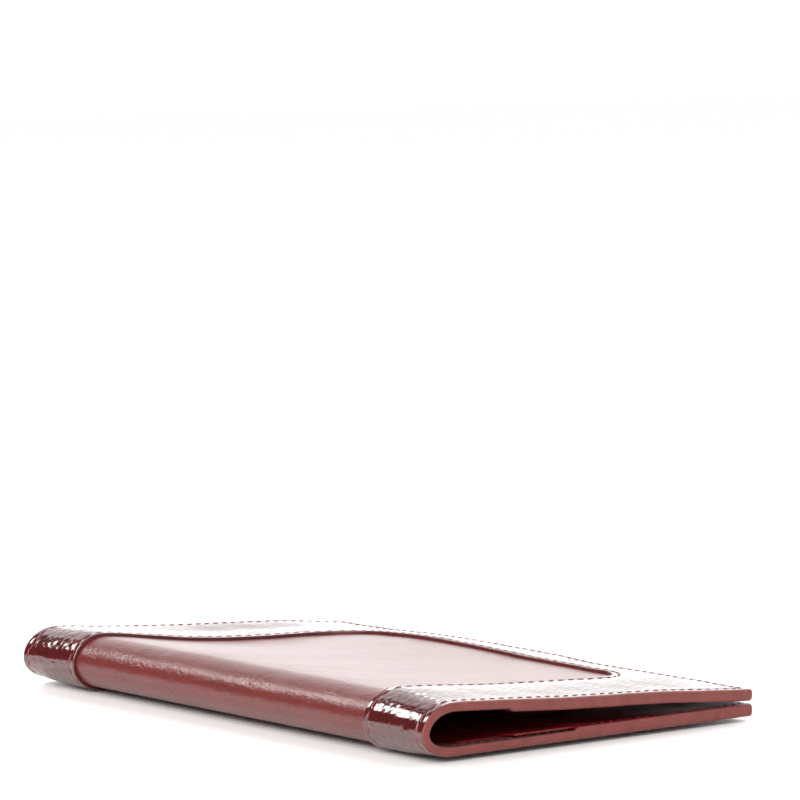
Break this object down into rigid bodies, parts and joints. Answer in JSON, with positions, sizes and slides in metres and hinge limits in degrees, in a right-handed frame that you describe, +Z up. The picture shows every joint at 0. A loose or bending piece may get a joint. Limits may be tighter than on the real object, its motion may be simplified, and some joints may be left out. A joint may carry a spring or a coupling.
{
  "type": "long wallet",
  "caption": "Two-fold travel wallet: smooth calf covers inside a stitched frame of glossy scale-embossed leather, round hinged spine, slip, card, document and note pockets.",
  "frame": {"origin": "on the resting surface, under the middle of the closed wallet's box", "axes": "+X along the spine, +Y from the spine to the open edge, +Z up out of the back cover"},
  "size_m": [0.152, 0.099, 0.0126],
  "materials": {
    "smooth_calf": "satin",
    "patent_lizard": "gloss",
    "salpa_board": "matte",
    "lining_leather": "satin",
    "pocket_leather": "gloss",
    "pocket_textile": "matte",
    "edge_paint": "satin",
    "thread": "satin"
  },
  "bodies": {
    "back_cover": {"back_calf_panel": "smooth_calf", "back_lizard_frame": "patent_lizard", "back_stiffener": "salpa_board", "back_lining": "lining_leather", "back_edge_stitching": "thread", "back_window_stitching": "thread", "back_note_pocket": "pocket_leather", "back_document_pocket": "pocket_leather", "back_card_pocket": "pocket_leather", "back_note_pocket_tab": "pocket_textile", "back_document_pocket_tab": "pocket_textile"},
    "spine": {"spine_calf_panel": "smooth_calf", "spine_lizard_band_near": "patent_lizard", "spine_lizard_band_far": "patent_lizard", "spine_reinforcement": "salpa_board", "spine_lining": "lining_leather", "spine_edge_stitching": "thread", "spine_window_stitching": "thread"},
    "front_cover": {"front_calf_panel": "smooth_calf", "front_lizard_frame": "patent_lizard", "front_stiffener": "salpa_board", "front_lining": "lining_leather", "front_edge_stitching": "thread", "front_window_stitching": "thread", "front_slip_pocket": "pocket_leather"}
  },
  "joints": [
    {"name": "spine_fold", "type": "hinge", "parent": "back_cover", "child": "spine", "pos_m": [0, -0.0465, 0.0031], "axis": [1, 0, 0], "range_deg": [0, 91.85]},
    {"name": "cover_fold", "type": "hinge", "parent": "spine", "child": "front_cover", "pos_m": [0, -0.04625, 0.0098], "axis": [1, 0, 0], "range_deg": [0, 91.85]}
  ],
  "couplings": [
    {"joint": "cover_fold", "follows": "spine_fold", "ratio": 1}
  ]
}
